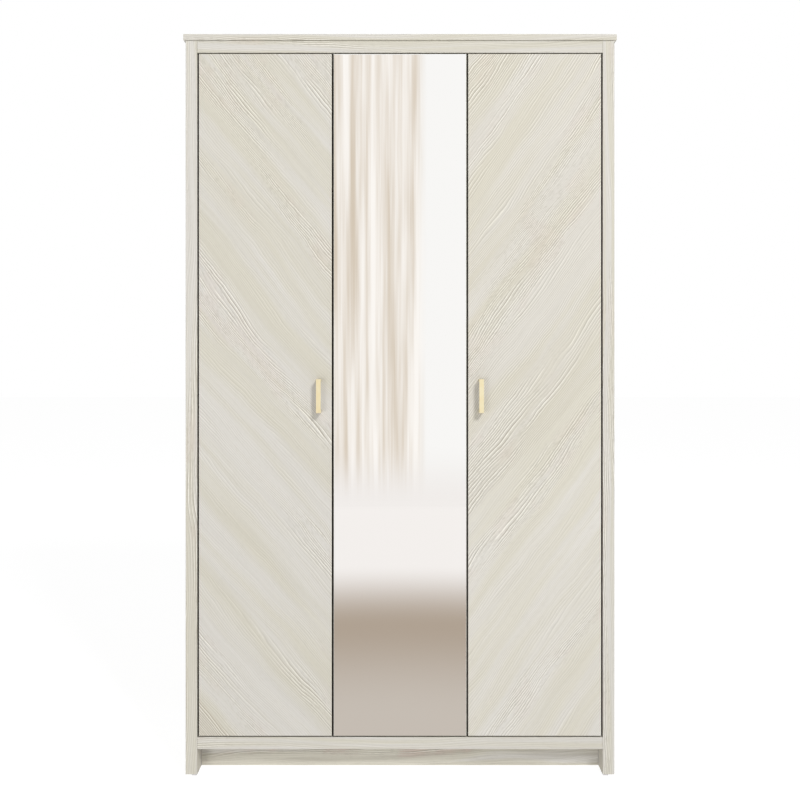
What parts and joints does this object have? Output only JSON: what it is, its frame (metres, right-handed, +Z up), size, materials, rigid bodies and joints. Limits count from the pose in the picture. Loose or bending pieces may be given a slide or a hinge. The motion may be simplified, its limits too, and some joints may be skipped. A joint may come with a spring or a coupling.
{
  "type": "wardrobe with mirror door",
  "caption": "Tall freestanding wardrobe with plain doors in pale ash laminate, a full-height mirror on the middle door, slim brass pulls, a hanging bay and a shelved bay.",
  "frame": {"origin": "on the floor, in the middle of the width and of the whole depth, handles included", "axes": "+X to the right seen from the front, +Y from the doors to the back panel, +Z up"},
  "size_m": [1.122, 0.536, 1.92],
  "materials": {
    "carcass_laminate": "satin pale limed ash laminate, straight grain along each board",
    "door_laminate": "satin pale limed ash laminate, grain laid diagonally and mirrored across the middle door",
    "inner_board": "satin pale ash laminate with edge banding",
    "backing_board": "printed hardboard, matt",
    "mirror": "silvered float glass with a fine ground arris",
    "handle_brass": "pale brushed brass",
    "fitting_steel": "nickel-plated steel",
    "glide_plastic": "grey moulded plastic"
  },
  "bodies": {
    "root": {"back_panel_narrow": "backing_board", "back_panel_wide": "backing_board", "bottom_panel": "inner_board", "bottom_rail": "carcass_laminate", "centre_plinth_support": "inner_board", "front_left_glide": "glide_plastic", "front_right_glide": "glide_plastic", "hanging_rail": "fitting_steel", "hat_shelf": "inner_board", "left_hinge_arm_bottom": "fitting_steel", "left_hinge_arm_middle": "fitting_steel", "left_hinge_arm_top": "fitting_steel", "left_hinge_plate_bottom": "fitting_steel", "left_hinge_plate_middle": "fitting_steel", "left_hinge_plate_top": "fitting_steel", "left_rail_socket": "fitting_steel", "left_side_panel": "carcass_laminate", "left_stile": "carcass_laminate", "lower_shelf": "inner_board", "middle_shelf": "inner_board", "mirror_hinge_arm_bottom": "fitting_steel", "mirror_hinge_arm_middle": "fitting_steel", "mirror_hinge_arm_top": "fitting_steel", "mirror_hinge_plate_bottom": "fitting_steel", "mirror_hinge_plate_middle": "fitting_steel", "mirror_hinge_plate_top": "fitting_steel", "partition": "inner_board", "plinth_board": "carcass_laminate", "rear_left_glide": "glide_plastic", "rear_plinth": "inner_board", "rear_right_glide": "glide_plastic", "right_hinge_arm_bottom": "fitting_steel", "right_hinge_arm_middle": "fitting_steel", "right_hinge_arm_top": "fitting_steel", "right_hinge_plate_bottom": "fitting_steel", "right_hinge_plate_middle": "fitting_steel", "right_hinge_plate_top": "fitting_steel", "right_rail_socket": "fitting_steel", "right_side_panel": "carcass_laminate", "right_stile": "carcass_laminate", "stop_rail": "inner_board", "top_panel": "carcass_laminate", "top_rail": "carcass_laminate", "upper_shelf": "inner_board"},
    "left_leaf": {"left_door": "door_laminate", "left_handle": "handle_brass", "left_hinge_cup_bottom": "fitting_steel", "left_hinge_cup_middle": "fitting_steel", "left_hinge_cup_top": "fitting_steel"},
    "mirror_leaf": {"mirror_door": "door_laminate", "mirror_glass": "mirror", "mirror_hinge_cup_bottom": "fitting_steel", "mirror_hinge_cup_middle": "fitting_steel", "mirror_hinge_cup_top": "fitting_steel"},
    "right_leaf": {"right_door": "door_laminate", "right_handle": "handle_brass", "right_hinge_cup_bottom": "fitting_steel", "right_hinge_cup_middle": "fitting_steel", "right_hinge_cup_top": "fitting_steel"}
  },
  "joints": [
    {"name": "left_door_swing", "type": "hinge", "parent": "root", "child": "left_leaf", "pos_m": [-0.504, -0.232, 0.986], "axis": [0, 0, -1], "range_deg": [0, 95]},
    {"name": "mirror_door_swing", "type": "hinge", "parent": "root", "child": "mirror_leaf", "pos_m": [0.15517, -0.232, 0.986], "axis": [0, 0, 1], "range_deg": [0, 95]},
    {"name": "right_door_swing", "type": "hinge", "parent": "root", "child": "right_leaf", "pos_m": [0.504, -0.232, 0.986], "axis": [0, 0, 1], "range_deg": [0, 95]}
  ]
}
